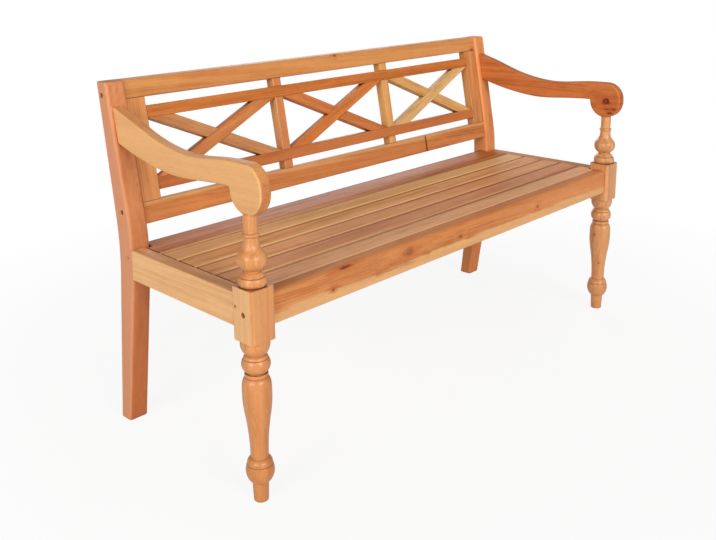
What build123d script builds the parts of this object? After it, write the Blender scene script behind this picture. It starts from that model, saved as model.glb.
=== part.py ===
from build123d import *
import os
from math import asin, atan, atan2, cos, degrees, hypot, radians, sin, tan

# A wooden dining bench with a three-bay lattice back and scroll armrests.
# Millimetres, +Z up, X along the bench, front towards -Y.
# The origin is on the floor under the middle of the bench.

# Overall sizes
total_length = 1500  # over the blocks of the two front legs
total_depth = 580  # from the front of the arm scrolls to the back of the rear legs
total_height = 860
seat_height = 468  # top of the slats and of the seat rails
arm_height = 742  # top of the arm scrolls

# Fits between pieces
fit_gap = 0.1  # round a tenon, dowel, peg or screw
end_gap = 1  # past the end of a tenon or dowel
bolt_clearance = 0.3  # round a bolt shank

# Rear legs: leg and back stile in one piece, bent at the seat
rear_leg_width = 52
rear_leg_foot_depth = 43
rear_leg_seat_depth = 62
rear_leg_top_depth = 42
rear_leg_sweep = 54  # how far the bend's back stands in front of the foot's
rear_leg_top_inset = 3  # of the top's back, in front of the foot's
rear_leg_bend_radius = 600
rear_leg_edge_radius = 8
rear_leg_end_radius = 2

# Front legs: turned leg, square block and turned arm post in one piece
front_stock = 64  # side of the square block
block_below_seat = 96
block_above_seat = 20
block_edge_radius = 8
block_shoulder_height = 5  # where the lathe has cut the block's corners away
block_shoulder_radius = 40
line_height = 1.5  # of the fine lines cut round the turning
line_depth = 1
groove_height = 2
groove_radius = 21.5
foot_height = 45.5
foot_bottom_radius = 16.2
foot_top_radius = 18
foot_edge_radius = 3
ball_height = 41
ball_radius = 31
ball_bottom_radius = 19.5
ball_top_radius = 28.6
ball_collar_height = 14.5
ball_collar_radius = 28
ball_collar_top_radius = 20.5
vase_radius = 31.6
vase_bottom_radius = 19.4
vase_top_radius = 25
ring_height = 8
ring_radius = 25.4
ring_end_radius = 24.6
bead_height = 30
bead_radius = 30.8
bead_top_radius = 27
bead_collar_height = 7
bead_collar_radius = 26.3
cup_height = 32
cup_curve_height = 21
cup_radius = 31.6
cup_bottom_radius = 22.3
post_bead_height = 19.5
post_bead_radius = 30.8
post_bead_bottom_radius = 27
post_bead_top_radius = 28
post_collar_height = 9
post_collar_radius = 26.8
post_collar_top_radius = 18.5
post_neck_height = 3
post_neck_radius = 17.6
bulb_height = 70
bulb_radius = 31.6
bulb_top_radius = 15.2
post_ring_height = 8
post_ring_radius = 18.3
post_radius = 14.6
post_tenon_radius = 9
post_tenon_length = 30

# Armrests
arm_width = 29
arm_edge_radius = 5
scroll_radius = 50
scroll_drop = 7  # straight part between the scroll's upper and lower rounds
scroll_spot_depth = 4  # flat seat for the arm post in the round underside
scroll_throat_radius = 5  # in the corner where the arm leaves the scroll
arm_rear_rise = 57  # of the arm's top at the rear leg, over the scroll
arm_rear_drop = 24  # of the arm's underside at the rear leg, below the scroll's top
arm_rear_slope = 0.33  # of the arm at the rear leg, rise over run
arm_dip = 11  # of the arm's top at its lowest, below the scroll
arm_thickness = 54.5  # from that dip to the lowest of the underside
arm_tenon_thickness = 12
arm_tenon_height = 34
arm_tenon_length = 22

# Seat rails
front_rail_setback = 10  # behind the front faces of the blocks
side_rail_setback = 11  # of side rails and rear legs, inside the outer faces of the blocks
front_rail_thickness = 35
side_rail_thickness = 36
front_rail_height = 70
side_rail_height = 75
rail_edge_radius = 3
front_rail_nose_radius = 12
rail_tenon_thickness = 12
rail_tenon_shoulder = 12
rail_front_tenon_length = 24
rail_rear_tenon_length = 38  # from the front of the rear leg's bend
rear_rail_thickness = 25
rear_rail_height = 70
rear_rail_setback = 17  # behind the front of the rear leg's bend
rear_rail_tenon_length = 16

# Seat slats and what carries them
slat_count = 6
slat_thickness = 20
slat_gap = 4.5
slat_end_gap = 2
slat_edge_radius = 4.5
slat_notch_gap = 2  # round the front blocks and rear legs
rear_slat_extra = 34  # added width of the rear slat, which reaches between the legs
support_height = 30
cleat_width = 22
cleat_end_gap = 6
bearer_count = 3
bearer_spacing = 350
bearer_width = 45
bearer_tenon_length = 10
bearer_tenon_shoulder = 6

# Back: sizes along the slope of the rear legs' front faces, depths square to it
back_setback = 8  # behind the rear legs' front faces
lattice_thickness = 28
lattice_edge_radius = 2
crest_height = 45
crest_thickness = 33
back_rail_edge_radius = 4
lower_back_gap = 54  # from the seat up to the lower back rail
lower_back_height = 53
slot_height = 21.3  # between each lattice rail and the rail beyond it
lattice_rail_height = 30
inner_stile_width = 52
back_post_width = 28
diagonal_width = 31
diagonal_setback = 2  # behind the lattice rails' faces
diagonal_side_gap = 0.3
diagonal_tenon_width = 40
stub_tenon_length = 10
stub_tenon_thickness = 8
stub_tenon_shoulder = 5

# Fasteners
bolt_radius = 3
bolt_head_radius = 5
bolt_head_height = 6
bolt_socket_radius = 2.9
bolt_socket_depth = 3
bolt_grip = 34  # wood between the bolt head and the joint
bolt_reach = 62  # of the bolt past the joint
counterbore_radius = 6
nut_radius = 5
nut_length = 20
nut_distance = 45  # from the joint
dowel_radius = 4
dowel_length = 44
crest_bolt_inset = 16  # from the underside of the crest rail
lower_bolt_inset = 14  # from the top of the lower back rail
back_dowel_offset = 19  # past the bolt, in those rails
front_dowel_offset = 24  # below the bolt, in the front rail
peg_radius = 3.5
peg_length = 36
peg_inset = 12  # from the tenon's end
peg_drop = 22  # below the seat
screw_radius = 2
screw_length = 40
screw_head_radius = 4
screw_head_height = 2.6
screw_sink = 4  # of the screw head below the wood's face
screw_head_clearance = 0.5
cleat_screw_count = 3

# Places worked out from the sizes
rear_y = total_depth / 2
front_axis_x = total_length / 2 - front_stock / 2
front_axis_y = scroll_radius - total_depth / 2
block_front_y = front_axis_y - front_stock / 2
block_back_y = front_axis_y + front_stock / 2
block_inner_x = front_axis_x - front_stock / 2
block_bottom = seat_height - block_below_seat
block_top = seat_height + block_above_seat
rail_outer_x = total_length / 2 - side_rail_setback
rail_inner_x = rail_outer_x - side_rail_thickness
rail_middle_x = rail_outer_x - side_rail_thickness / 2
front_rail_bottom = seat_height - front_rail_height
side_rail_bottom = seat_height - side_rail_height
leg_outer_x = rail_outer_x
leg_inner_x = leg_outer_x - rear_leg_width
leg_middle_x = leg_outer_x - rear_leg_width / 2
bend_rear_y = rear_y - rear_leg_sweep
bend_front_y = bend_rear_y - rear_leg_seat_depth
top_rear_y = rear_y - rear_leg_top_inset
top_front_y = top_rear_y - rear_leg_top_depth
front_rail_front_y = block_front_y + front_rail_setback
front_rail_back_y = front_rail_front_y + front_rail_thickness
rear_rail_front_y = bend_front_y + rear_rail_setback
rear_rail_back_y = rear_rail_front_y + rear_rail_thickness
slat_bottom = seat_height - slat_thickness
rear_rail_bottom = slat_bottom - rear_rail_height
support_bottom = slat_bottom - support_height
rake = atan((top_front_y - bend_front_y) / (total_height - seat_height))
scroll_z = arm_height - scroll_radius
scroll_lower_z = scroll_z - scroll_drop
arm_middle_x = (front_axis_x + leg_middle_x) / 2
post_top = scroll_lower_z - scroll_radius + scroll_spot_depth


def block(x0, x1, y0, y1, z0, z1):
    """A box between two corners."""
    return Pos((x0 + x1) / 2, (y0 + y1) / 2, (z0 + z1) / 2) * Box(x1 - x0, y1 - y0, z1 - z0)


def rod(start, direction, radius, length):
    """A cylinder that runs from a point along a direction."""
    foot = Plane(origin=start, z_dir=direction)
    return foot * Cylinder(radius, length, align=(Align.CENTER, Align.CENTER, Align.MIN))


def eased(solid, axis, radius):
    """The solid with its edges along one axis rounded."""
    return fillet(solid.edges().filter_by(axis), radius)


def both_sides(solid):
    """The right-hand solid and its mirror image on the left."""
    return {"left": mirror(solid, about=Plane.YZ), "right": solid}


# The back's own frame: X along the bench, Y through the back, Z up the slope of the rear legs
tilt = Pos(0, bend_front_y, seat_height) * Rot(X=-degrees(rake))


def on_slope(depth, height):
    """Where a point of the back's frame lies on the bench, as a Y and a Z."""
    return (
        bend_front_y + depth * cos(rake) + height * sin(rake),
        seat_height - depth * sin(rake) + height * cos(rake),
    )


def height_at_level(level, depth):
    """How far up the slope a level of the bench is reached, at a depth into the back."""
    return (level - seat_height + depth * sin(rake)) / cos(rake)


back_front = back_setback
back_middle = back_setback + lattice_thickness / 2
back_rear = back_setback + lattice_thickness
crest_rear = back_setback + crest_thickness
crest_bottom = height_at_level(total_height, back_front) - crest_height
lower_back_bottom = lower_back_gap
lower_back_top = lower_back_bottom + lower_back_height
lower_lattice_bottom = lower_back_top + slot_height
lower_lattice_top = lower_lattice_bottom + lattice_rail_height
upper_lattice_top = crest_bottom - slot_height
upper_lattice_bottom = upper_lattice_top - lattice_rail_height
stile_inner_x = leg_inner_x - inner_stile_width
bay_width = (2 * stile_inner_x - 2 * back_post_width) / 3
post_x = bay_width / 2 + back_post_width / 2
bay_pitch = bay_width + back_post_width


# Rear legs
def rear_leg_blank():
    """The right rear leg with sharp edges and no holes."""
    side = make_face(
        Polyline(
            (rear_y - rear_leg_foot_depth, 0),
            (rear_y, 0),
            (bend_rear_y, seat_height),
            (top_rear_y, total_height),
            (top_front_y, total_height),
            (bend_front_y, seat_height),
            close=True,
        )
    )
    bends = side.vertices().filter_by_position(Axis.Y, seat_height - 1, seat_height + 1)
    return extrude(Plane.YZ.offset(leg_inner_x) * fillet(bends, rear_leg_bend_radius), rear_leg_width)


leg_blank = rear_leg_blank()
long_edges = leg_blank.faces().filter_by(Axis.X).edges().filter_by(Axis.Y, reverse=True)
rear_leg = fillet(long_edges, rear_leg_edge_radius)
end_edges = rear_leg.faces().sort_by(Axis.Z)[0].edges() + rear_leg.faces().sort_by(Axis.Z)[-1].edges()
rear_leg = fillet(end_edges, rear_leg_end_radius)


# Front legs
def turned(*outline):
    """A solid of revolution about Z, from edges of radius and height that start and end off the axis."""
    edges = Curve() + list(outline)
    start = outline[0] @ 0
    end = outline[-1] @ 1
    edges += Polyline((end.X, end.Y), (0, end.Y), (0, start.Y), (start.X, start.Y))
    return revolve(Plane.XZ * make_face(edges), Axis.Z)


def bulge(bottom, top, end_radius, middle_radius):
    """A round swelling between two heights."""
    return ThreePointArc((end_radius, bottom), (middle_radius, (bottom + top) / 2), (end_radius, top))


def shoulder(bottom, top, bottom_radius, top_radius, fullness):
    """A curve between two radii; fullness is the lower one's share at half height."""
    middle_radius = fullness * bottom_radius + (1 - fullness) * top_radius
    return ThreePointArc((bottom_radius, bottom), (middle_radius, (bottom + top) / 2), (top_radius, top))


def cut_line(height, radius_below, radius_above):
    """A fine V cut round the turning, from a height upwards."""
    bottom = (min(radius_below, radius_above) - line_depth, height + line_height / 2)
    return [
        Line((radius_below, height), bottom),
        Line(bottom, (radius_above, height + line_height)),
    ]


def turned_leg():
    """The leg below the block: foot, ball, vase, ring, bead and cup."""
    ball_top = foot_height + ball_height
    ball_collar_bottom = ball_top + line_height
    ball_collar_top = ball_collar_bottom + ball_collar_height
    cup_bottom = block_bottom - cup_height
    cup_top = cup_bottom + cup_curve_height
    bead_collar_top = cup_bottom - groove_height
    bead_collar_bottom = bead_collar_top - bead_collar_height
    bead_top = bead_collar_bottom - line_height
    bead_bottom = bead_top - bead_height
    ring_top = bead_bottom - groove_height
    ring_bottom = ring_top - ring_height
    vase_top = ring_bottom - line_height
    vase_height = vase_top - ball_collar_top
    swell = vase_radius - vase_bottom_radius
    belly = (vase_radius, ball_collar_top + 0.78 * vase_height)
    vase = Spline(
        (vase_bottom_radius, ball_collar_top),
        (vase_bottom_radius + 0.08 * swell, ball_collar_top + 0.2 * vase_height),
        (vase_bottom_radius + 0.48 * swell, ball_collar_top + 0.46 * vase_height),
        belly,
        tangents=((0, 1), (0, 1)),
    )
    vase_shoulder = Spline(belly, (vase_top_radius, vase_top), tangents=((0, 1), (-1, 1)))
    foot_edge_middle = foot_edge_radius * (1 - cos(radians(45)))
    return turned(
        ThreePointArc(
            (foot_bottom_radius - foot_edge_radius, 0),
            (foot_bottom_radius - foot_edge_middle, foot_edge_middle),
            (foot_bottom_radius, foot_edge_radius),
        ),
        Line((foot_bottom_radius, foot_edge_radius), (foot_top_radius, foot_height)),
        Line((foot_top_radius, foot_height), (ball_bottom_radius, foot_height)),
        ThreePointArc(
            (ball_bottom_radius, foot_height),
            (ball_radius, foot_height + 0.6 * ball_height),
            (ball_top_radius, ball_top),
        ),
        *cut_line(ball_top, ball_top_radius, ball_collar_radius),
        shoulder(ball_collar_bottom, ball_collar_top, ball_collar_radius, ball_collar_top_radius, 0.8),
        Line((ball_collar_top_radius, ball_collar_top), (vase_bottom_radius, ball_collar_top)),
        vase,
        vase_shoulder,
        *cut_line(vase_top, vase_top_radius, ring_end_radius),
        bulge(ring_bottom, ring_top, ring_end_radius, ring_radius),
        Line((ring_end_radius, ring_top), (groove_radius, ring_top)),
        Line((groove_radius, ring_top), (groove_radius, bead_bottom)),
        ThreePointArc(
            (groove_radius, bead_bottom),
            (bead_radius, bead_bottom + 0.55 * bead_height),
            (bead_top_radius, bead_top),
        ),
        *cut_line(bead_top, bead_top_radius, bead_collar_radius),
        shoulder(bead_collar_bottom, bead_collar_top, bead_collar_radius, groove_radius, 0.8),
        Line((groove_radius, bead_collar_top), (groove_radius, cup_bottom)),
        Line((groove_radius, cup_bottom), (cup_bottom_radius, cup_bottom)),
        shoulder(cup_bottom, cup_top, cup_bottom_radius, cup_radius, 0.25),
        Line((cup_radius, cup_top), (cup_radius, block_bottom)),
    )


def turned_post():
    """The arm post above the block: bead, collar, bulb, ring, shaft and tenon."""
    bead_top = block_top + post_bead_height
    collar_bottom = bead_top + line_height
    collar_top = collar_bottom + post_collar_height
    bulb_bottom = collar_top + post_neck_height
    bulb_top = bulb_bottom + bulb_height
    ring_top = bulb_top + post_ring_height
    tenon_top = post_top + post_tenon_length
    belly = (bulb_radius, bulb_bottom + 0.33 * bulb_height)
    bulb = Spline((post_neck_radius, bulb_bottom), belly, tangents=((1, 0.8), (0, 1)))
    bulb_shoulder = Spline(
        belly,
        (bulb_top_radius + 0.28 * (bulb_radius - bulb_top_radius), bulb_bottom + 0.66 * bulb_height),
        (bulb_top_radius, bulb_top),
        tangents=((0, 1), (0, 1)),
    )
    return turned(
        ThreePointArc(
            (post_bead_bottom_radius, block_top),
            (post_bead_radius, block_top + 0.55 * post_bead_height),
            (post_bead_top_radius, bead_top),
        ),
        *cut_line(bead_top, post_bead_top_radius, post_collar_radius),
        shoulder(collar_bottom, collar_top, post_collar_radius, post_collar_top_radius, 0.6),
        Line((post_collar_top_radius, collar_top), (post_neck_radius, collar_top)),
        Line((post_neck_radius, collar_top), (post_neck_radius, bulb_bottom)),
        bulb,
        bulb_shoulder,
        bulge(bulb_top, ring_top, bulb_top_radius, post_ring_radius),
        Line((bulb_top_radius, ring_top), (post_radius, ring_top)),
        Line((post_radius, ring_top), (post_radius, post_top)),
        Line((post_radius, post_top), (post_tenon_radius, post_top)),
        Line((post_tenon_radius, post_top), (post_tenon_radius, tenon_top)),
    )


def leg_block():
    """The square block, with its corners turned away at both ends."""
    half = front_stock / 2
    square = eased(block(-half, half, -half, half, block_bottom, block_top), Axis.Z, block_edge_radius)
    corner_radius = hypot(half, half)
    step = corner_radius - block_shoulder_radius
    low = block_bottom + block_shoulder_height
    high = block_top - block_shoulder_height
    barrel = turned(
        ThreePointArc(
            (block_shoulder_radius, block_bottom),
            (block_shoulder_radius + 0.7 * step, block_bottom + 0.3 * block_shoulder_height),
            (corner_radius, low),
        ),
        Line((corner_radius, low), (corner_radius, high)),
        ThreePointArc(
            (corner_radius, high),
            (block_shoulder_radius + 0.7 * step, block_top - 0.3 * block_shoulder_height),
            (block_shoulder_radius, block_top),
        ),
    )
    return square & barrel


front_leg = Pos(front_axis_x, front_axis_y) * (turned_leg() + leg_block() + turned_post())


# Armrests
def arm_outline():
    """The arm's side: an S-curve from inside the rear leg to a round scroll over the front leg."""
    reach = on_slope(0, height_at_level(arm_height, 0))[0] - front_axis_y
    into_leg = rear_leg_top_depth / 2
    inside_y = front_axis_y + reach + into_leg
    rear_lift = arm_rear_slope * into_leg
    throat = radians(2)  # up the scroll's back, where the underside leaves it
    throat_point = (front_axis_y + scroll_radius * cos(throat), scroll_lower_z + scroll_radius * sin(throat))
    scroll_top = (front_axis_y, arm_height)
    scroll_front = (front_axis_y - scroll_radius, scroll_z)
    scroll_lower_front = (front_axis_y - scroll_radius, scroll_lower_z)
    brow = (front_axis_y - scroll_radius * sin(radians(45)), scroll_z + scroll_radius * sin(radians(45)))
    rear_top = (inside_y, arm_height + arm_rear_rise + rear_lift)
    rear_bottom = (inside_y, arm_height - arm_rear_drop + rear_lift)
    top = Spline(
        rear_top,
        (front_axis_y + 0.87 * reach, arm_height + 0.67 * arm_rear_rise),
        (front_axis_y + 0.72 * reach, arm_height + 0.24 * arm_rear_rise),
        (front_axis_y + 0.56 * reach, arm_height - 0.36 * arm_dip),
        (front_axis_y + 0.38 * reach, arm_height - arm_dip),
        (front_axis_y + 0.20 * reach, arm_height - 0.36 * arm_dip),
        scroll_top,
        tangents=((-1, -arm_rear_slope), (-1, 0)),
    )
    scroll = [
        ThreePointArc(scroll_top, brow, scroll_front),
        Line(scroll_front, scroll_lower_front),
        ThreePointArc(scroll_lower_front, (front_axis_y, scroll_lower_z - scroll_radius), throat_point),
    ]
    belly = arm_height - arm_dip - arm_thickness
    underside = Spline(
        throat_point,
        (front_axis_y + 0.22 * reach, belly + 0.15 * arm_thickness),
        (front_axis_y + 0.36 * reach, belly + 0.06 * arm_thickness),
        (front_axis_y + 0.50 * reach, belly),
        (front_axis_y + 0.64 * reach, belly + 0.09 * arm_thickness),
        (front_axis_y + 0.81 * reach, belly + 0.34 * arm_thickness),
        rear_bottom,
    )
    side = make_face(Curve() + [top, *scroll, underside, Line(rear_bottom, rear_top)])
    return fillet(side.vertices().sort_by_distance((*throat_point, 0))[0], scroll_throat_radius)


def arm_tenon(gap, length):
    """The tenon at the arm's rear end, square to the rear leg."""
    middle = height_at_level(arm_height + (arm_rear_rise - arm_rear_drop) / 2, 0)
    half_width = arm_tenon_thickness / 2 + gap
    half_height = arm_tenon_height / 2 + gap
    return tilt * block(
        arm_middle_x - half_width,
        arm_middle_x + half_width,
        -arm_tenon_length / 2,
        length,
        middle - half_height,
        middle + half_height,
    )


def post_socket():
    """The flat seat and the round mortise for the arm post, in the scroll's underside."""
    seat = (front_axis_x, front_axis_y, post_top)
    return rod(seat, (0, 0, -1), post_radius + fit_gap, 2 * scroll_spot_depth) + rod(
        seat, (0, 0, 1), post_tenon_radius + fit_gap, post_tenon_length + end_gap
    )


arm_blank = extrude(Plane.YZ.offset(arm_middle_x - arm_width / 2) * arm_outline(), arm_width)
arm_edges = arm_blank.faces().filter_by(Axis.X).edges().sort_by(Axis.Y)[:-2]  # all but the ends in the leg
armrest = fillet(arm_edges, arm_edge_radius) - leg_blank
armrest = armrest + arm_tenon(0, arm_tenon_length) - post_socket()
rear_leg -= arm_tenon(fit_gap, arm_tenon_length + end_gap)


# Side rails
def side_tenon(y0, y1, gap):
    """A tenon of the right side rail between two places along Y."""
    return block(
        rail_middle_x - rail_tenon_thickness / 2 - gap,
        rail_middle_x + rail_tenon_thickness / 2 + gap,
        y0,
        y1,
        side_rail_bottom + rail_tenon_shoulder - gap,
        seat_height - rail_tenon_shoulder + gap,
    )


rail_in_leg_y = (bend_front_y + bend_rear_y) / 2
front_tenon_end = block_back_y - rail_front_tenon_length
rear_tenon_end = bend_front_y + rail_rear_tenon_length
side_rail = block(rail_inner_x, rail_outer_x, block_back_y, rail_in_leg_y, side_rail_bottom, seat_height)
side_rail = eased(side_rail, Axis.Y, rail_edge_radius) - leg_blank
side_rail += side_tenon(front_tenon_end, block_back_y + rail_tenon_shoulder, 0)
side_rail += side_tenon(bend_front_y - rail_tenon_shoulder, rear_tenon_end, 0)
front_leg -= side_tenon(front_tenon_end - end_gap, block_back_y + 1, fit_gap)
rear_leg -= side_tenon(bend_front_y - rail_tenon_shoulder, rear_tenon_end + end_gap, fit_gap)

# Pegs through the side rail tenons
peg_z = seat_height - peg_drop
peg_starts = (
    (total_length / 2, front_tenon_end + peg_inset, peg_z),
    (leg_outer_x, rear_tenon_end - peg_inset, peg_z),
)
pegs = [rod(start, (-1, 0, 0), peg_radius, peg_length) for start in peg_starts]
for start in peg_starts:
    peg_hole = rod(start, (-1, 0, 0), peg_radius + fit_gap, peg_length + fit_gap)
    front_leg -= peg_hole
    rear_leg -= peg_hole
    side_rail -= peg_hole

# Front rail
front_rail = block(
    -block_inner_x, block_inner_x, front_rail_front_y, front_rail_back_y, front_rail_bottom, seat_height
)
rail_edges = front_rail.edges().filter_by(Axis.X)
nose = rail_edges.sort_by_distance((0, front_rail_front_y, seat_height))[0]
front_rail = fillet(nose, front_rail_nose_radius)
front_rail = fillet(front_rail.edges().filter_by(Axis.X).group_by(Axis.Z)[0], rail_edge_radius)


# Rear rail
def rear_rail_tenon(gap, length):
    """The rear rail's tenon in the right rear leg."""
    middle = (rear_rail_front_y + rear_rail_back_y) / 2
    return block(
        leg_inner_x - rail_tenon_shoulder,
        leg_inner_x + length,
        middle - rail_tenon_thickness / 2 - gap,
        middle + rail_tenon_thickness / 2 + gap,
        rear_rail_bottom + rail_tenon_shoulder - gap,
        slat_bottom - rail_tenon_shoulder + gap,
    )


rear_rail = block(
    -leg_inner_x, leg_inner_x, rear_rail_front_y, rear_rail_back_y, rear_rail_bottom, slat_bottom
)
rear_rail = eased(rear_rail, Axis.X, rail_edge_radius)
for tenon in both_sides(rear_rail_tenon(0, rear_rail_tenon_length)).values():
    rear_rail += tenon
rear_leg -= rear_rail_tenon(fit_gap, rear_rail_tenon_length + end_gap)


# Bearers and cleats under the slats
def bearer_tenon(x, y0, y1, gap):
    """A bearer's tenon between two places along Y."""
    half = bearer_width / 2 - bearer_tenon_shoulder + gap
    return block(
        x - half,
        x + half,
        y0,
        y1,
        support_bottom + bearer_tenon_shoulder - gap,
        slat_bottom - bearer_tenon_shoulder + gap,
    )


bearer_places = [(i - (bearer_count - 1) / 2) * bearer_spacing for i in range(bearer_count)]
bearers = []
for x in bearer_places:
    front_end = front_rail_back_y - bearer_tenon_length
    rear_end = rear_rail_front_y + bearer_tenon_length
    half = bearer_width / 2
    bearer = block(x - half, x + half, front_rail_back_y, rear_rail_front_y, support_bottom, slat_bottom)
    bearers.append(bearer + bearer_tenon(x, front_end, rear_end, 0))
    sockets = bearer_tenon(x, front_end - end_gap, rear_end + end_gap, fit_gap)
    front_rail -= sockets
    rear_rail -= sockets
cleat_front_y = block_back_y + cleat_end_gap
cleat_rear_y = bend_front_y - cleat_end_gap
cleat_inner_x = rail_inner_x - cleat_width
cleat = block(cleat_inner_x, rail_inner_x, cleat_front_y, cleat_rear_y, support_bottom, slat_bottom)


# Seat slats, counted from the front
def slat(y0, y1):
    """A slat between two places along Y, notched where it meets a leg."""
    end = rail_inner_x - slat_end_gap
    board = eased(block(-end, end, y0, y1, slat_bottom, seat_height), Axis.X, slat_edge_radius)
    front_notch = block(
        block_inner_x - slat_notch_gap,
        rail_outer_x,
        block_front_y,
        block_back_y + slat_notch_gap,
        slat_bottom - 1,
        seat_height + 1,
    )
    rear_notch = block(
        leg_inner_x - slat_notch_gap,
        rail_outer_x,
        bend_front_y - slat_notch_gap,
        rear_y,
        slat_bottom - 1,
        seat_height + 1,
    )
    for notch in (front_notch, rear_notch):
        for side in both_sides(notch).values():
            board -= side
    return board


first_slat_y = front_rail_back_y + slat_gap
slat_field = rear_rail_back_y - first_slat_y
slat_width = (slat_field - rear_slat_extra - (slat_count - 1) * slat_gap) / slat_count
slat_starts = [first_slat_y + i * (slat_width + slat_gap) for i in range(slat_count)]
slats = [slat(y, y + slat_width) for y in slat_starts[:-1]]
slats.append(slat(slat_starts[-1], rear_rail_back_y))


# Wood screws: up through cleats and bearers into the slats, and through the cleats into the side rails
def screw(head, direction):
    """A screw whose head bears on the wood at a point, and the hole it needs."""
    outward = tuple(-value for value in direction)
    body = rod(head, direction, screw_radius, screw_length) + rod(
        head, outward, screw_head_radius, screw_head_height
    )
    hole = rod(head, direction, screw_radius + fit_gap, screw_length + fit_gap) + rod(
        head, outward, screw_head_radius + screw_head_clearance, screw_sink + 1
    )
    return body, hole


screws = []
cleat_middle_x = (cleat_inner_x + rail_inner_x) / 2
support_places = [("cleat", cleat_middle_x)] + [(i, x) for i, x in enumerate(bearer_places)]
for number, start in enumerate(slat_starts):
    for support, x in support_places:
        body, hole = screw((x, start + slat_width / 2, support_bottom + screw_sink), (0, 0, 1))
        screws.append(body)
        slats[number] -= hole
        if support == "cleat":
            screws.append(mirror(body, about=Plane.YZ))
            slats[number] -= mirror(hole, about=Plane.YZ)
            cleat -= hole
        else:
            bearers[support] -= hole
cleat_screw_pitch = (cleat_rear_y - cleat_front_y) / cleat_screw_count
for i in range(cleat_screw_count):
    y = cleat_front_y + (i + 0.5) * cleat_screw_pitch
    place = (cleat_inner_x + screw_sink, y, (support_bottom + slat_bottom) / 2)
    body, hole = screw(place, (1, 0, 0))
    screws += both_sides(body).values()
    cleat -= hole
    side_rail -= hole

# Crest rail, with its top planed level, and lower back rail
crest_section = make_face(
    Polyline(
        (back_front, crest_bottom),
        (back_front, height_at_level(total_height, back_front)),
        (crest_rear, height_at_level(total_height, crest_rear)),
        (crest_rear, crest_bottom),
        close=True,
    )
)
crest_rail = extrude(Plane.YZ * crest_section, leg_inner_x, both=True)
crest_rail = eased(crest_rail, Axis.X, back_rail_edge_radius)
lower_back_rail = block(-leg_inner_x, leg_inner_x, back_front, back_rear, lower_back_bottom, lower_back_top)
lower_back_rail = eased(lower_back_rail, Axis.X, back_rail_edge_radius)


# Uprights of the back: posts tenoned into the rails, inner stiles dowelled to the rear legs
def upright_tenons(x0, x1, gap, length):
    """The stub tenons at both ends of an upright between two places along X."""
    return block(
        x0 + stub_tenon_shoulder - gap,
        x1 - stub_tenon_shoulder + gap,
        back_middle - stub_tenon_thickness / 2 - gap,
        back_middle + stub_tenon_thickness / 2 + gap,
        lower_back_top - length,
        crest_bottom + length,
    )


def upright(x0, x1):
    """An upright of the back between the lower back rail and the crest rail."""
    post = block(x0, x1, back_front, back_rear, lower_back_top, crest_bottom)
    return eased(post, Axis.Z, lattice_edge_radius)


inner_stile = upright(stile_inner_x, leg_inner_x)
post_sides = (post_x - back_post_width / 2, post_x + back_post_width / 2)
back_post = upright(*post_sides) + upright_tenons(*post_sides, 0, stub_tenon_length)
for socket in both_sides(upright_tenons(*post_sides, fit_gap, stub_tenon_length + end_gap)).values():
    crest_rail -= socket
    lower_back_rail -= socket


# Lattice rails, half-lapped across the front of the posts
def lattice_tenons(bottom, gap, length):
    """The tenons of a lattice rail in the inner stiles."""
    return block(
        -stile_inner_x - length,
        stile_inner_x + length,
        back_middle - stub_tenon_thickness / 2 - gap,
        back_middle + stub_tenon_thickness / 2 + gap,
        bottom + stub_tenon_shoulder - gap,
        bottom + lattice_rail_height - stub_tenon_shoulder + gap,
    )


lattice_rails = {}
for name, bottom in (("lower", lower_lattice_bottom), ("upper", upper_lattice_bottom)):
    top = bottom + lattice_rail_height
    rail = block(-stile_inner_x, stile_inner_x, back_front, back_rear, bottom, top)
    rail = eased(rail, Axis.X, lattice_edge_radius) + lattice_tenons(bottom, 0, stub_tenon_length)
    post_room = block(
        post_x - back_post_width / 2 - fit_gap,
        post_x + back_post_width / 2 + fit_gap,
        back_middle,
        back_rear + 1,
        bottom - 1,
        top + 1,
    )
    for room in both_sides(post_room).values():
        rail -= room
    lattice_rails[name] = rail
    inner_stile -= lattice_tenons(bottom, fit_gap, stub_tenon_length + end_gap)
    back_post -= block(
        post_x - back_post_width,
        post_x + back_post_width,
        back_front - 1,
        back_middle,
        bottom - fit_gap,
        top + fit_gap,
    )

# Diagonals: in each bay two pieces cross, half-lapped, and the rising one shows whole from the front
field_half_height = (upper_lattice_bottom - lower_lattice_top) / 2
field_middle = (upper_lattice_bottom + lower_lattice_top) / 2
bay_half_width = bay_width / 2 - diagonal_side_gap
diagonal_angle = atan2(field_half_height, bay_half_width) + asin(
    diagonal_width / 2 / hypot(bay_half_width, field_half_height)
)
diagonal_run = field_half_height / tan(diagonal_angle)
diagonal_front = back_front + diagonal_setback
diagonal_rear = back_rear - diagonal_setback


def diagonal_band(middle_x, way, width, front, rear):
    """A slanting band across a bay; way is 1 where it rises to the right and -1 where it falls."""
    half_cut = width / 2 / sin(diagonal_angle)
    low = middle_x - way * diagonal_run
    high = middle_x + way * diagonal_run
    section = make_face(
        Polyline(
            (low - half_cut, field_middle - field_half_height),
            (low + half_cut, field_middle - field_half_height),
            (high + half_cut, field_middle + field_half_height),
            (high - half_cut, field_middle + field_half_height),
            close=True,
        )
    )
    return extrude(Plane.XZ.offset(-front) * section, front - rear)


def diagonal_tenons(middle_x, way, gap, length):
    """The stub tenons of a diagonal in the two lattice rails."""
    half = diagonal_tenon_width / 2 + gap
    low = middle_x - way * diagonal_run
    high = middle_x + way * diagonal_run
    front = back_middle - stub_tenon_thickness / 2 - gap
    rear = back_middle + stub_tenon_thickness / 2 + gap
    bottom = lower_lattice_top
    top = upper_lattice_bottom
    inside = stub_tenon_shoulder
    return [
        block(low - half, low + half, front, rear, bottom - length, bottom + inside),
        block(high - half, high + half, front, rear, top - inside, top + length),
    ]


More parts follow.
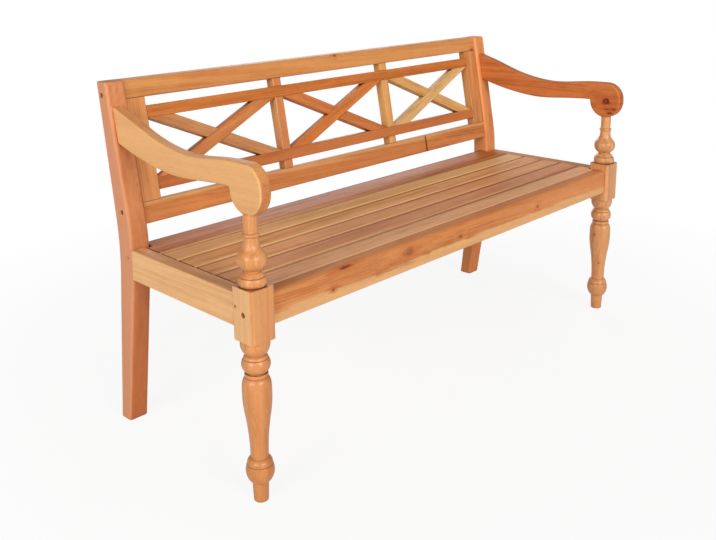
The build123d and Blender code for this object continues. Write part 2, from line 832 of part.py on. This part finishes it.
diagonals = {}
bay_names = ("left", "middle", "right")
for bay, bay_name in enumerate(bay_names):
    middle_x = (bay - 1) * bay_pitch
    for way, way_name in ((1, "rising"), (-1, "falling")):
        slant = Axis((0, 0, 0), (cos(diagonal_angle), 0, way * sin(diagonal_angle)))
        piece = diagonal_band(middle_x, way, diagonal_width, diagonal_front, diagonal_rear)
        piece = eased(piece, slant, lattice_edge_radius)
        lap_front, lap_rear = (back_middle, back_rear) if way == 1 else (back_front, back_middle)
        piece -= diagonal_band(middle_x, -way, diagonal_width + 2 * fit_gap, lap_front, lap_rear)
        for tenon in diagonal_tenons(middle_x, way, 0, stub_tenon_length):
            piece += tenon
        low_socket, high_socket = diagonal_tenons(middle_x, way, fit_gap, stub_tenon_length + end_gap)
        lattice_rails["lower"] -= low_socket
        lattice_rails["upper"] -= high_socket
        diagonals[f"diagonal_{bay_name}_{way_name}"] = piece


# Bolted joints: frame bolts from outside, barrel nuts in the rails and a dowel beside each bolt
def frame_bolt():
    """A socket-head bolt along -X whose head bears at the origin."""
    head = rod((0, 0, 0), (1, 0, 0), bolt_head_radius, bolt_head_height)
    socket = extrude(
        Plane.YZ.offset(bolt_head_height - bolt_socket_depth) * RegularPolygon(bolt_socket_radius, 6),
        bolt_socket_depth,
    )
    return head - socket + rod((0, 0, 0), (-1, 0, 0), bolt_radius, bolt_grip + bolt_reach)


def barrel_nut():
    """A cross nut along Y, drilled for the bolt."""
    body = rod((0, -nut_length / 2, 0), (0, 1, 0), nut_radius, nut_length)
    hole = rod((-2 * nut_radius, 0, 0), (1, 0, 0), bolt_radius + fit_gap, 4 * nut_radius)
    return body - hole


def bolt_room(outer_length):
    """The hole for a bolt whose head bears at the origin, with a counterbore out to the leg's face."""
    shank = rod((1, 0, 0), (-1, 0, 0), bolt_radius + bolt_clearance, bolt_grip + bolt_reach + 1 + end_gap)
    return shank + rod((0, 0, 0), (1, 0, 0), counterbore_radius, outer_length)


def nut_room(depth):
    """The hole for a barrel nut at the origin, open towards the back of its rail."""
    return rod((0, -nut_length / 2, 0), (0, 1, 0), nut_radius + fit_gap, depth)


def dowel_and_hole(place):
    """A dowel along X with its middle at a place, and the hole it needs."""
    half = dowel_length / 2
    dowel = rod((-half, 0, 0), (1, 0, 0), dowel_radius, dowel_length)
    hole = rod((-half - end_gap, 0, 0), (1, 0, 0), dowel_radius + fit_gap, dowel_length + 2 * end_gap)
    return place * dowel, place * hole


inner_stile = tilt * inner_stile
bolts = []
nuts = []
dowels = []
front_rail_axis = Pos(0, (front_rail_front_y + front_rail_back_y) / 2, (front_rail_bottom + seat_height) / 2)
lower_back_axis = tilt * Pos(0, back_middle, lower_back_top - lower_bolt_inset)
crest_axis = tilt * Pos(0, (back_front + crest_rear) / 2, crest_bottom + crest_bolt_inset)
bolted_joints = (
    ("front", front_rail_axis, block_inner_x, -front_dowel_offset, front_rail_thickness),
    ("lower", lower_back_axis, leg_inner_x, -back_dowel_offset, lattice_thickness),
    ("crest", crest_axis, leg_inner_x, back_dowel_offset, crest_thickness),
)
bolted_rails = {"front": front_rail, "lower": tilt * lower_back_rail, "crest": tilt * crest_rail}
for name, bolt_axis, joint_x, dowel_rise, rail_depth in bolted_joints:
    head_place = bolt_axis * Pos(joint_x + bolt_grip, 0, 0)
    nut_place = bolt_axis * Pos(joint_x - nut_distance, 0, 0)
    dowel, dowel_hole = dowel_and_hole(bolt_axis * Pos(joint_x, 0, dowel_rise))
    bolt_hole = head_place * bolt_room(front_stock)
    nut_hole = nut_place * nut_room(rail_depth)
    bolts += both_sides(head_place * frame_bolt()).values()
    nuts += both_sides(nut_place * barrel_nut()).values()
    dowels += both_sides(dowel).values()
    if name == "front":
        front_leg = front_leg - bolt_hole - dowel_hole
    else:
        rear_leg = rear_leg - bolt_hole - dowel_hole
    for hole in (bolt_hole, nut_hole, dowel_hole):
        for side in both_sides(hole).values():
            bolted_rails[name] -= side
for share in (-0.4, 0.4):
    stile_place = tilt * Pos(leg_inner_x, back_middle, field_middle + share * field_half_height)
    dowel, dowel_hole = dowel_and_hole(stile_place)
    dowels += both_sides(dowel).values()
    rear_leg -= dowel_hole
    inner_stile -= dowel_hole

# All pieces in the bench's frame
pieces = {
    "front_rail": bolted_rails["front"],
    "rear_rail": rear_rail,
    "lower_back_rail": bolted_rails["lower"],
    "crest_rail": bolted_rails["crest"],
    "frame_bolts": Compound(children=bolts),
    "barrel_nuts": Compound(children=nuts),
    "locating_dowels": Compound(children=dowels),
    "tenon_pegs": Compound(children=[side for peg in pegs for side in both_sides(peg).values()]),
    "wood_screws": Compound(children=screws),
}
paired = {
    "rear_leg": rear_leg,
    "front_leg": front_leg,
    "armrest": armrest,
    "side_rail": side_rail,
    "seat_cleat": cleat,
    "inner_stile": inner_stile,
    "back_post": tilt * back_post,
}
for name, solid in paired.items():
    for side, piece in both_sides(solid).items():
        pieces[f"{name}_{side}"] = piece
for name, rail in lattice_rails.items():
    pieces[f"{name}_lattice_rail"] = tilt * rail
for name, piece in diagonals.items():
    pieces[name] = tilt * piece
for number, piece in enumerate(slats, start=1):
    pieces[f"seat_slat_{number}"] = piece
for number, piece in enumerate(bearers, start=1):
    pieces[f"seat_bearer_{number}"] = piece

os.makedirs("parts", exist_ok=True)
for name, piece in pieces.items():
    export_step(piece, f"parts/{name}.step")
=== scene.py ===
# A dining bench in light brown hardwood, dressed for its picture.
# Lengths are in metres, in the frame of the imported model.

import math
import random

import bpy
from mathutils import Euler, Matrix, Vector


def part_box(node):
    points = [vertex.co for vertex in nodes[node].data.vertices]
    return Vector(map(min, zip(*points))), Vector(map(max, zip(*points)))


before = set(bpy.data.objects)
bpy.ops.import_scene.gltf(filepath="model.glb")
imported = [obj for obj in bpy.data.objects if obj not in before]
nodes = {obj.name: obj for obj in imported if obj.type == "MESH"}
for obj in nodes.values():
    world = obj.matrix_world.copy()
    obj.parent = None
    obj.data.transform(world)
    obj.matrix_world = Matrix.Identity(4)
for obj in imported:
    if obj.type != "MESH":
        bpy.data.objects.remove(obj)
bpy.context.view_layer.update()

# The picture and its camera, found from the photograph
picture_width = 716
picture_height = 540
focal_pixels = 857.87
axis_pixel = (330, 160)
camera_place = (-1.74621, -1.52022, 1.12092)
camera_yaw = math.radians(44.390)
camera_pitch = math.radians(12.983)
camera_roll = math.radians(-1.081)

# Directions that the grain runs in
ACROSS = (1, 0, 0)
FORE_AFT = (0, 1, 0)
UPRIGHT = (0, 0, 1)
LEANING = (0, 0.178, 0.984)

# Sizes of the wood's figure, across the grain
ring_gap = 0.0048
ring_wander = 0.014
wander_size = 0.06
tone_size = 0.075
flush_size = 0.05
streak_size = 0.013
mottle_size = 0.016
fibre_size = 0.0016
pore_size = 0.0007
wave_turns = 20  # radians that the wave texture goes through in a metre, at a scale of 1
most_lean = 2.2  # degrees between a board's grain and its length

# How each layer of the figure is drawn out along the grain: the smaller, the longer
tone_stretch = 0.06
streak_stretch = 0.03
mottle_stretch = 0.3
fibre_stretch = 0.012
pore_stretch = 0.05

# How much each layer counts in the figure, and how far from a half the figure has its extreme colours
ring_share = 0.04
tone_share = 0.30
streak_share = 0.32
mottle_share = 0.12
fibre_share = 0.22
figure_reach = 0.14

# Most that pores, red flushes, end grain, worn edges, painted shade in corners and hollows, and seams change
# a colour
pore_share = 0.3
flush_share = 0.25
end_grain_share = 0.35
worn_share = 0.45
corner_shade_share = 0.5
hollow_shade_share = 0.9
seam_share = 0.85
seam_fade = 0.004  # height over which a seam ends

# Finish
worn_edge_radius = 0.0016
corner_reach = 0.007  # how near another surface makes a corner
bump_depth = 0.0004
pore_dent = 0.8  # a pore's depth over the height of the fibre
bump_strength = 0.25
dark_roughness = 0.58  # where the figure is dark
pale_roughness = 0.46
wood_specular = 0.22

# Slat edges: how far in the painted highlight on the front edge and the painted shadow on the rear edge
# start to fade and are gone
highlight_edge = (0.002, 0.005)
shadow_edge = (0.008, 0.013)
# Places along the bench between which their shares change, and the shares there
edge_light_places = (-0.3, 0.4)
highlight_shares = (0.55, 0.05)
shadow_shares = (0.55, 0.95)

# How a board's dark and light streaks differ from its main colour, in red, green and blue
dark_streak = (0.72, 0.61, 0.50)
light_streak = (1.15, 1.23, 1.32)

# How the painted shadow at a slat's rear edge and the painted shade at a leg's foot differ from a dark
# streak
edge_shadow_tone = (0.5, 0.4, 0.35)
foot_tone = (1.05, 0.92, 0.75)


def tint(red, green, blue):
    """A colour as a screen shows it, 0 to 255, as a linear colour."""
    linear = []
    for part in (red, green, blue):
        value = part / 255
        if value <= 0.04045:
            linear.append(value / 12.92)
        else:
            linear.append(((value + 0.055) / 1.055) ** 2.4)
    return (*linear, 1.0)


def shaded(colour, factors):
    """A colour with its red, green and blue scaled, no brighter than white."""
    scaled = [min(part * factor, 1.0) for part, factor in zip(colour, factors)]
    return (*scaled, 1.0)


SAPWOOD = tint(234, 188, 130)
KNOT = tint(84, 36, 16)  # also the painted shade in hollows, and seams
FLUSH = tint(192, 92, 44)  # also round knots
HIDDEN_WOOD = (215, 150, 98)  # of boards that the photograph hides or barely shows


def put(tree, kind, inputs=None, **settings):
    """A new shader node, with its inputs set to values or linked to sockets."""
    made = tree.nodes.new("ShaderNode" + kind)
    for name, value in settings.items():
        setattr(made, name, value)
    for name, value in (inputs or {}).items():
        if isinstance(value, bpy.types.NodeSocket):
            tree.links.new(value, made.inputs[name])
        else:
            made.inputs[name].default_value = value
    return made


def maths(tree, operation, first, second=0.0):
    """One sum on two numbers."""
    made = put(tree, "Math", {0: first, 1: second}, operation=operation)
    return made.outputs[0]


def spread(tree, value, low, high, to_low, to_high):
    """The value carried from one range to another, kept inside it."""
    inputs = {0: value, 1: low, 2: high, 3: to_low, 4: to_high}
    return put(tree, "MapRange", inputs).outputs[0]


def mixed(tree, share, under, over, blend="MIX"):
    """Two colours mixed."""
    inputs = {0: share, 6: under, 7: over}
    made = put(tree, "Mix", inputs, data_type="RGBA", blend_type=blend)
    return made.outputs[2]


def stretched(tree, vector, scale):
    """Coordinates with the grain's direction scaled."""
    inputs = {0: vector, 1: (scale, 1, 1)}
    return put(tree, "VectorMath", inputs, operation="MULTIPLY").outputs[0]


def noise(tree, vector, size, detail=2.0, roughness=0.5):
    """Soft noise whose lumps are about that size."""
    inputs = {"Vector": vector, "Scale": 1 / size, "Detail": detail, "Roughness": roughness}
    return put(tree, "TexNoise", inputs)


def log_coordinates(tree, place, along, number, middle):
    """Places in the log that a board is sawn from, X along the grain."""
    chance = random.Random(number)
    turn = Vector((1, 0, 0)).rotation_difference(Vector(along).normalized()).to_matrix()
    roll = chance.uniform(-math.pi, math.pi)
    lean = math.radians(chance.uniform(-most_lean, most_lean))
    leaning = Euler((roll, lean, 0)).to_matrix()
    # Where the board was sawn: along the log, and to two sides of its heart
    offset = Vector((chance.uniform(-1, 1), chance.uniform(0.03, 0.09), chance.uniform(-0.03, 0.03)))
    inputs = {
        "Vector": place,
        "Location": Vector(middle) + turn @ leaning @ offset,
        "Rotation": (turn @ leaning).to_euler(),
    }
    return put(tree, "Mapping", inputs, vector_type="TEXTURE").outputs[0]


def wood(
    name,
    main,
    along,
    number,
    middle,
    bold=1.0,
    knots=(),
    sap=None,
    foot=None,
    seam=None,
    edges=None,
    hollows=(0.04, 0.3),
    polish=0.0,
):
    """One board's own material, in its main colour, its figure faint or bold.

    Knots are (place, radius, length over width, share). The sapwood, the painted shade at a leg's foot, a
    seam and the painted light at a slat's edges each take the last values of the function that draws them.
    Hollow shade is how open a corner is where its painted shade is darkest and where it is gone. Polish adds
    sheen and takes off roughness.
    """
    material = bpy.data.materials.new(name)
    material.use_nodes = True
    tree = material.node_tree
    tree.nodes.clear()
    deep = shaded(main, dark_streak)
    pale = shaded(main, light_streak)

    place = put(tree, "TexCoord").outputs["Object"]
    log = log_coordinates(tree, place, along, number, middle)
    long_log = stretched(tree, log, tone_stretch)

    # Grain that wanders along the log and swells round each knot
    wander = noise(tree, long_log, wander_size).outputs["Color"]
    centred = put(tree, "VectorMath", {0: wander, 1: (0.5, 0.5, 0.5)}, operation="SUBTRACT").outputs[0]
    shift = put(tree, "VectorMath", {0: centred, 3: ring_wander * 2}, operation="SCALE").outputs[0]
    bent = put(tree, "VectorMath", {0: log, 1: shift}, operation="ADD").outputs[0]
    knot_distances = []
    for at, radius, length, share in knots:
        distance = knot_distance(tree, place, along, at, radius, length)
        knot_distances.append(distance)
        swell = spread(tree, distance, 0.0, radius * 6, radius * 1.6, 0.0)
        push = put(tree, "CombineXYZ", {"Y": swell, "Z": swell}).outputs[0]
        bent = put(tree, "VectorMath", {0: bent, 1: push}, operation="ADD").outputs[0]

    # Growth rings, broad tone, streaks, mottle, fine fibre and pores
    inputs = {"Vector": bent, "Scale": 2 * math.pi / wave_turns / ring_gap}
    rings = put(tree, "TexWave", inputs, wave_type="RINGS", rings_direction="X").outputs["Fac"]
    tone = noise(tree, long_log, tone_size).outputs["Fac"]
    streaks = noise(tree, stretched(tree, bent, streak_stretch), streak_size, 3.0).outputs["Fac"]
    mottle = noise(tree, stretched(tree, bent, mottle_stretch), mottle_size).outputs["Fac"]
    fibre = noise(tree, stretched(tree, bent, fibre_stretch), fibre_size, 4.0, 0.7).outputs["Fac"]
    pore_noise = noise(tree, stretched(tree, bent, pore_stretch), pore_size, 1.0).outputs["Fac"]
    pores = spread(tree, pore_noise, 0.6, 0.72, 0.0, 1.0)

    figure = maths(tree, "MULTIPLY", rings, ring_share)
    layers = ((tone, tone_share), (streaks, streak_share), (mottle, mottle_share), (fibre, fibre_share))
    for layer, share in layers:
        inputs = {0: layer, 1: share, 2: figure}
        figure = put(tree, "Math", inputs, operation="MULTIPLY_ADD").outputs[0]
    reach = figure_reach / bold
    ramp = put(tree, "ValToRGB", {"Fac": spread(tree, figure, 0.5 - reach, 0.5 + reach, 0.0, 1.0)})
    ramp.color_ramp.elements[0].color = deep
    ramp.color_ramp.elements[1].color = pale
    ramp.color_ramp.elements.new(0.5).color = main
    colour = ramp.outputs["Color"]

    # A redder flush here and there
    flush_noise = noise(tree, long_log, flush_size, 1.0).outputs["Color"]
    one_channel = put(tree, "SeparateColor", {0: flush_noise}).outputs[2]
    colour = mixed(tree, spread(tree, one_channel, 0.55, 0.75, 0.0, flush_share), colour, FLUSH)

    # What is particular to this board
    if foot:
        colour = footed(tree, place, colour, deep, *foot)
    if sap:
        colour = sapwood(tree, place, streaks, colour, *sap)
    for (at, radius, length, share), distance in zip(knots, knot_distances):
        colour = knotted(tree, colour, distance, radius, share)
    if seam:
        colour = seamed(tree, place, colour, *seam)
    if edges:
        colour = painted_edge_light(tree, place, colour, deep, *edges)

    colour = mixed(tree, maths(tree, "MULTIPLY", pores, pore_share), colour, deep, "MULTIPLY")

    # End grain drinks more of the finish
    geometry = put(tree, "NewGeometry")
    facing = put(tree, "VectorMath", {0: geometry.outputs["Normal"], 1: along}, operation="DOT_PRODUCT")
    squareness = maths(tree, "ABSOLUTE", facing.outputs["Value"])
    end_grain = spread(tree, squareness, 0.8, 0.98, 0.0, end_grain_share)
    colour = mixed(tree, end_grain, colour, deep, "MULTIPLY")

    # Worn edges, painted shade in corners, and a darker painted shade in deep hollows
    rounded = put(tree, "Bevel", {"Radius": worn_edge_radius}, samples=4).outputs["Normal"]
    inputs = {0: rounded, 1: geometry.outputs["Normal"]}
    turned = put(tree, "VectorMath", inputs, operation="DOT_PRODUCT").outputs["Value"]
    worn = spread(tree, turned, 0.99, 0.85, 0.0, worn_share)
    colour = mixed(tree, worn, colour, pale)
    openness = put(tree, "AmbientOcclusion", {"Distance": corner_reach}, samples=6).outputs["AO"]
    # Painted shade: darker where the corner is less open
    corner_shade = spread(tree, openness, 0.35, 0.85, corner_shade_share, 0.0)
    colour = mixed(tree, corner_shade, colour, deep, "MULTIPLY")
    # Painted shade in deep hollows, near black
    hollow = spread(tree, openness, *hollows, hollow_shade_share, 0.0)
    colour = mixed(tree, hollow, colour, KNOT)

    height = put(tree, "Math", {0: pores, 1: -pore_dent, 2: fibre}, operation="MULTIPLY_ADD").outputs[0]
    inputs = {"Height": height, "Strength": bump_strength, "Distance": bump_depth, "Normal": rounded}
    bump = put(tree, "Bump", inputs).outputs[0]
    roughness = (dark_roughness - polish, pale_roughness - polish)
    inputs = {
        "Base Color": colour,
        "Roughness": spread(tree, figure, 0.5 - figure_reach, 0.5 + figure_reach, *roughness),
        "Specular IOR Level": wood_specular + polish,
        "Normal": bump,
    }
    surface = put(tree, "BsdfPrincipled", inputs)
    put(tree, "OutputMaterial", {"Surface": surface.outputs[0]})
    return material


def sapwood(tree, place, streaks, colour, towards, level, share, wander=0.04, paler=SAPWOOD):
    """Paler wood past a level in one direction, with a wandering border."""
    reach = put(tree, "VectorMath", {0: place, 1: towards}, operation="DOT_PRODUCT").outputs["Value"]
    past = maths(tree, "SUBTRACT", reach, level)
    border = put(tree, "Math", {0: streaks, 1: wander, 2: past}, operation="MULTIPLY_ADD").outputs[0]
    return mixed(tree, spread(tree, border, wander * 0.4, wander * 0.6, 0.0, share), colour, paler)


def footed(tree, place, colour, deep, top, share):
    """A leg that darkens and reddens from a height down to its foot: painted shade, such as the seat's over
    the rear legs.
    """
    height = put(tree, "SeparateXYZ", {0: place}).outputs["Z"]
    return mixed(tree, spread(tree, height, top, 0.0, 0.0, share), colour, shaded(deep, foot_tone))


def knot_distance(tree, place, along, at, radius, length):
    """Distance from a knot, ragged, and shorter along the grain."""
    turn = Vector((1, 0, 0)).rotation_difference(Vector(along).normalized())
    inputs = {"Vector": place, "Location": at, "Rotation": turn.to_euler(), "Scale": (length, 1, 1)}
    local = put(tree, "Mapping", inputs, vector_type="TEXTURE").outputs[0]
    straight = put(tree, "VectorMath", {0: local}, operation="LENGTH").outputs["Value"]
    ragged = noise(tree, place, radius * 0.8).outputs["Fac"]
    inputs = {0: ragged, 1: radius, 2: straight}
    return put(tree, "Math", inputs, operation="MULTIPLY_ADD").outputs[0]


def knotted(tree, colour, distance, radius, share):
    """A knot's dark eye round a paler heart, in a redder halo."""
    halo = spread(tree, distance, radius * 1.2, radius * 3.4, share * 0.6, 0.0)
    eye = spread(tree, distance, radius * 0.9, radius * 1.5, share, 0.0)
    heart = spread(tree, distance, radius * 0.55, radius * 0.75, share * 0.5, 0.0)
    colour = mixed(tree, halo, colour, FLUSH)
    colour = mixed(tree, eye, colour, KNOT)
    return mixed(tree, heart, colour, FLUSH)


def seamed(tree, place, colour, at, width, top):
    """A dark upright joint line across a rail, up to a height."""
    axes = put(tree, "SeparateXYZ", {0: place})
    aside = maths(tree, "ABSOLUTE", maths(tree, "SUBTRACT", axes.outputs["X"], at))
    line = spread(tree, aside, width * 0.5, width, seam_share, 0.0)
    below = spread(tree, axes.outputs["Z"], top, top + seam_fade, 1.0, 0.0)
    return mixed(tree, maths(tree, "MULTIPLY", line, below), colour, KNOT)


def painted_edge_light(tree, place, colour, deep, front, rear):
    """A slat's front edge with a painted highlight, strongest towards the left, and its rear edge with a
    painted shadow, strongest towards the right.
    """
    axes = put(tree, "SeparateXYZ", {0: place})
    behind = maths(tree, "SUBTRACT", axes.outputs["Y"], front)
    ahead = maths(tree, "SUBTRACT", rear, axes.outputs["Y"])
    along = axes.outputs["X"]
    highlight_mask = spread(tree, behind, *highlight_edge, 1.0, 0.0)
    highlight_mask = maths(tree, "MULTIPLY", highlight_mask, spread(tree, along, *edge_light_places, *highlight_shares))
    shadow_mask = spread(tree, ahead, *shadow_edge, 1.0, 0.0)
    shadow_mask = maths(tree, "MULTIPLY", shadow_mask, spread(tree, along, *edge_light_places, *shadow_shares))
    # Painted highlight on the front edge, painted shadow on the rear edge
    colour = mixed(tree, highlight_mask, colour, SAPWOOD)
    return mixed(tree, shadow_mask, colour, shaded(deep, edge_shadow_tone))


def plated_steel(name):
    """Darkened steel for bolts, nuts and screws."""
    material = bpy.data.materials.new(name)
    material.use_nodes = True
    tree = material.node_tree
    tree.nodes.clear()
    place = put(tree, "TexCoord").outputs["Object"]
    cloud = noise(tree, place, 0.004, 4.0, 0.6).outputs["Fac"]
    scratch = noise(tree, stretched(tree, place, 0.1), 0.0008).outputs["Fac"]
    colour = put(tree, "ValToRGB", {"Fac": cloud})
    colour.color_ramp.elements[0].color = tint(52, 49, 45)
    colour.color_ramp.elements[1].color = tint(92, 88, 82)
    bump = put(tree, "Bump", {"Height": scratch, "Strength": 0.2, "Distance": 0.0001})
    inputs = {
        "Base Color": colour.outputs["Color"],
        "Metallic": 1.0,
        "Roughness": spread(tree, cloud, 0.3, 0.7, 0.28, 0.5),
        "Normal": bump.outputs[0],
    }
    surface = put(tree, "BsdfPrincipled", inputs)
    put(tree, "OutputMaterial", {"Surface": surface.outputs[0]})
    return material


def cover(node, material):
    """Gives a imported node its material."""
    piece = nodes[node]
    piece.data.materials.clear()
    piece.data.materials.append(material)


board_count = 0


def board(node, main, along, **marks):
    """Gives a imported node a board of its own."""
    global board_count
    board_count += 1
    low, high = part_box(node)
    cover(node, wood(node + "_wood", tint(*main), along, board_count, (low + high) / 2, **marks))


def corner_to_corner(node, rising):
    """The direction of a diagonal, from its box."""
    low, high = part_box(node)
    reach = high - low
    if rising:
        return reach.normalized()
    return Vector((reach.x, -reach.y, -reach.z)).normalized()


# The back. Each board has its main colour, and sap is (direction, distance that way, share, border's wander,
# colour), the last two only where they aren't the usual ones.
crest_knots = [((0.0155, 0.2525, 0.8563), 0.004, 1.5, 0.8), ((0.6732, 0.2463, 0.8197), 0.005, 1.5, 0.8)]
board("crest_rail", (215, 145, 82), ACROSS, knots=crest_knots)
rail_top = ((0, 0, 1), 0.562, 0.45)
board("lower_back_rail", (206, 128, 70), ACROSS, bold=1.6, sap=rail_top, seam=(0.370, 0.005, 0.567))
board("upper_lattice_rail", (205, 121, 55), ACROSS, bold=1.3)
board("lower_lattice_rail", (193, 112, 59), ACROSS, bold=1.3)
board("inner_stile_left", (226, 154, 95), LEANING, bold=1.2)
board("inner_stile_right", (212, 143, 84), LEANING, bold=1.4)
post_side = ((-1, 0, 0), 0.2285, 0.3, 0.003)
board("back_post_left", (208, 131, 78), LEANING, sap=post_side)
board("back_post_right", (224, 164, 98), LEANING)
diagonal_colours = {
    "left": ((204, 127, 71), (200, 137, 87)),
    "middle": ((208, 124, 57), (205, 122, 63)),
    "right": ((232, 189, 127), (223, 173, 104)),
}
for bay, (rising, falling) in diagonal_colours.items():
    node = f"diagonal_{bay}_rising"
    board(node, rising, corner_to_corner(node, True), bold=1.3)
    node = f"diagonal_{bay}_falling"
    board(node, falling, corner_to_corner(node, False), bold=1.3)

# The ends
outer_side = ((-1, 0, 0), 0.736, 0.8, 0.006, tint(212, 147, 109))
bolted_leg = {"hollows": (0.1, 0.45)}
# Each leg's foot values paint shade on its lower part, deepest at the floor
board("rear_leg_left", (211, 134, 84), UPRIGHT, bold=1.2, sap=outer_side, foot=(0.62, 0.8), **bolted_leg)
inner_side = ((-1, 0, 0), -0.690, 0.6, 0.004, tint(228, 152, 98))
board("rear_leg_right", (228, 147, 87), UPRIGHT, sap=inner_side, foot=(0.47, 0.4), **bolted_leg)
block_side = ((-1, 0, 0), 0.7497, 0.6, 0.0002)
turned_leg = {"bold": 1.3, "hollows": (0.2, 0.6), "polish": 0.2}
board("front_leg_left", (213, 147, 89), UPRIGHT, sap=block_side, foot=(0.38, 0.7), **turned_leg)
leg_knots = [((0.6863, -0.2385, 0.2565), 0.005, 1.5, 0.5), ((0.7000, -0.2503, 0.1611), 0.004, 1.5, 0.5)]
board("front_leg_right", (216, 153, 99), UPRIGHT, knots=leg_knots, foot=(0.38, 0.5), **turned_leg)
arm_side = ((-1, 0, 0), 0.7280, 0.5, 0.003)
board("armrest_left", (219, 151, 91), FORE_AFT, sap=arm_side)
scroll_knots = [
    ((0.7010, -0.2450, 0.6850), 0.013, 1.3, 0.95),
    ((0.7010, -0.2710, 0.6620), 0.006, 2.2, 0.85),
    ((0.7020, -0.2590, 0.6500), 0.005, 3.0, 0.85),
    ((0.7010, -0.2490, 0.6610), 0.0030, 5.0, 0.7),
]
board("armrest_right", (206, 120, 62), FORE_AFT, bold=1.3, knots=scroll_knots)
rail_side = ((-1, 0, 0), 0.7370, 0.4, 0.003)
board("side_rail_left", (229, 173, 122), FORE_AFT, sap=rail_side)
board("side_rail_right", HIDDEN_WOOD, FORE_AFT)

# The seat
rail_knots = [
    ((-0.4700, -0.2590, 0.4640), 0.005, 5.0, 0.9),
    ((-0.5113, -0.2620, 0.4240), 0.004, 1.3, 0.7),
    ((-0.2550, -0.2620, 0.4450), 0.014, 1.8, 0.4),
    ((-0.0550, -0.2620, 0.4347), 0.005, 1.3, 0.7),
    ((0.3034, -0.2620, 0.4367), 0.006, 1.3, 0.55),
]
lower_edge = ((0, 0, -1), -0.422, 0.6)
board("front_rail", (211, 136, 78), ACROSS, bold=1.2, knots=rail_knots, sap=lower_edge)
slat_hollows = (0.3, 0.65)
slat_colours = (
    (237, 175, 124),
    (221, 152, 103),
    (231, 164, 109),
    (246, 185, 127),
    (237, 185, 124),
    (193, 114, 50),
)
for number, main in enumerate(slat_colours, start=1):
    node = f"seat_slat_{number}"
    low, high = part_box(node)
    # Each slat gets a painted highlight on its front edge and a painted shadow on its rear edge
    board(node, main, ACROSS, bold=1.2, edges=(low.y, high.y), hollows=slat_hollows)
board("rear_rail", HIDDEN_WOOD, ACROSS)
for number in (1, 2, 3):
    board(f"seat_bearer_{number}", HIDDEN_WOOD, FORE_AFT)
for side in ("left", "right"):
    board(f"seat_cleat_{side}", HIDDEN_WOOD, FORE_AFT)

# Fastenings
board("tenon_pegs", (190, 128, 92), ACROSS)
board("locating_dowels", (202, 150, 106), ACROSS)
steel = plated_steel("plated_steel")
for node in ("frame_bolts", "barrel_nuts", "wood_screws"):
    cover(node, steel)

# How strongly the white world lights the bench and shows in its sheen, where 1 is white
world_light = 0.16
world_sheen = 0.5


def seen_share(tree, unseen):
    """1 for what the camera sees, less for what the sheen mirrors, and least for other light."""
    path = put(tree, "LightPath")
    straight = maths(tree, "MAXIMUM", path.outputs["Is Camera Ray"], path.outputs["Is Transmission Ray"])
    mirrored = spread(tree, path.outputs["Is Glossy Ray"], 0.0, 1.0, unseen, world_sheen)
    return maths(tree, "MAXIMUM", straight, mirrored)


# A pale floor, white to the camera but for the bench's soft shadow
floor_reach = 40.0
floor_tint = (236, 235, 233)
floor_fade = (0.7, 1.9)  # distances from the middle between which the shadow fades out
floor_whiteness = (0.88, 1.0)  # how white the camera sees it at those distances
bpy.ops.mesh.primitive_circle_add(vertices=96, radius=floor_reach, fill_type="NGON")
floor = bpy.context.object
floor.name = "floor"
paper = bpy.data.materials.new("floor_paper")
paper.use_nodes = True
tree = paper.node_tree
tree.nodes.clear()
place = put(tree, "TexCoord").outputs["Object"]
away = put(tree, "VectorMath", {0: place}, operation="LENGTH").outputs["Value"]
diffuse = put(tree, "BsdfDiffuse", {"Color": tint(*floor_tint)}).outputs[0]
white = put(tree, "Emission", {"Strength": 1.0}).outputs[0]
whiteness = maths(tree, "MULTIPLY", seen_share(tree, 0.0), spread(tree, away, *floor_fade, *floor_whiteness))
paper_mix = put(tree, "MixShader", {0: whiteness, 1: diffuse, 2: white})
put(tree, "OutputMaterial", {"Surface": paper_mix.outputs[0]})
floor.data.materials.append(paper)

# A white world that lights softly
world = bpy.data.worlds.new("studio")
bpy.context.scene.world = world
world.use_nodes = True
tree = world.node_tree
tree.nodes.clear()
strength = seen_share(tree, world_light)
background = put(tree, "Background", {"Color": (1, 1, 1, 1), "Strength": strength})
put(tree, "OutputWorld", {"Surface": background.outputs[0]})

# Soft lamps
seat_middle = Vector((0, 0, 0.45))


def softbox(name, place, width, height, power):
    """An area lamp turned towards the middle of the seat."""
    lamp = bpy.data.lights.new(name, "AREA")
    lamp.shape = "RECTANGLE"
    lamp.size = width
    lamp.size_y = height
    lamp.energy = power
    holder = bpy.data.objects.new(name, lamp)
    holder.location = place
    holder.rotation_euler = (seat_middle - Vector(place)).to_track_quat("-Z", "Y").to_euler()
    bpy.context.scene.collection.objects.link(holder)


softbox("front", (-1.2, -7.2, 3.3), width=4.0, height=3.0, power=360)
softbox("left", (-7.2, -1.6, 3.0), width=4.0, height=3.0, power=340)
softbox("back", (4.5, 5.0, 3.2), width=3.0, height=2.4, power=120)

# The camera
lens = bpy.data.cameras.new("camera")
lens.sensor_fit = "HORIZONTAL"
lens.sensor_width = 36
lens.lens = focal_pixels * lens.sensor_width / picture_width
lens.shift_x = (picture_width / 2 - axis_pixel[0]) / picture_width
lens.shift_y = (axis_pixel[1] - picture_height / 2) / picture_width
camera = bpy.data.objects.new("camera", lens)
turning = Matrix.Rotation(-camera_yaw, 4, "Z")
tipping = Matrix.Rotation(math.pi / 2 - camera_pitch, 4, "X")
rolling = Matrix.Rotation(camera_roll, 4, "Z")
camera.matrix_world = Matrix.Translation(camera_place) @ turning @ tipping @ rolling
bpy.context.scene.collection.objects.link(camera)
bpy.context.scene.camera = camera
bpy.context.scene.view_settings.view_transform = "Standard"
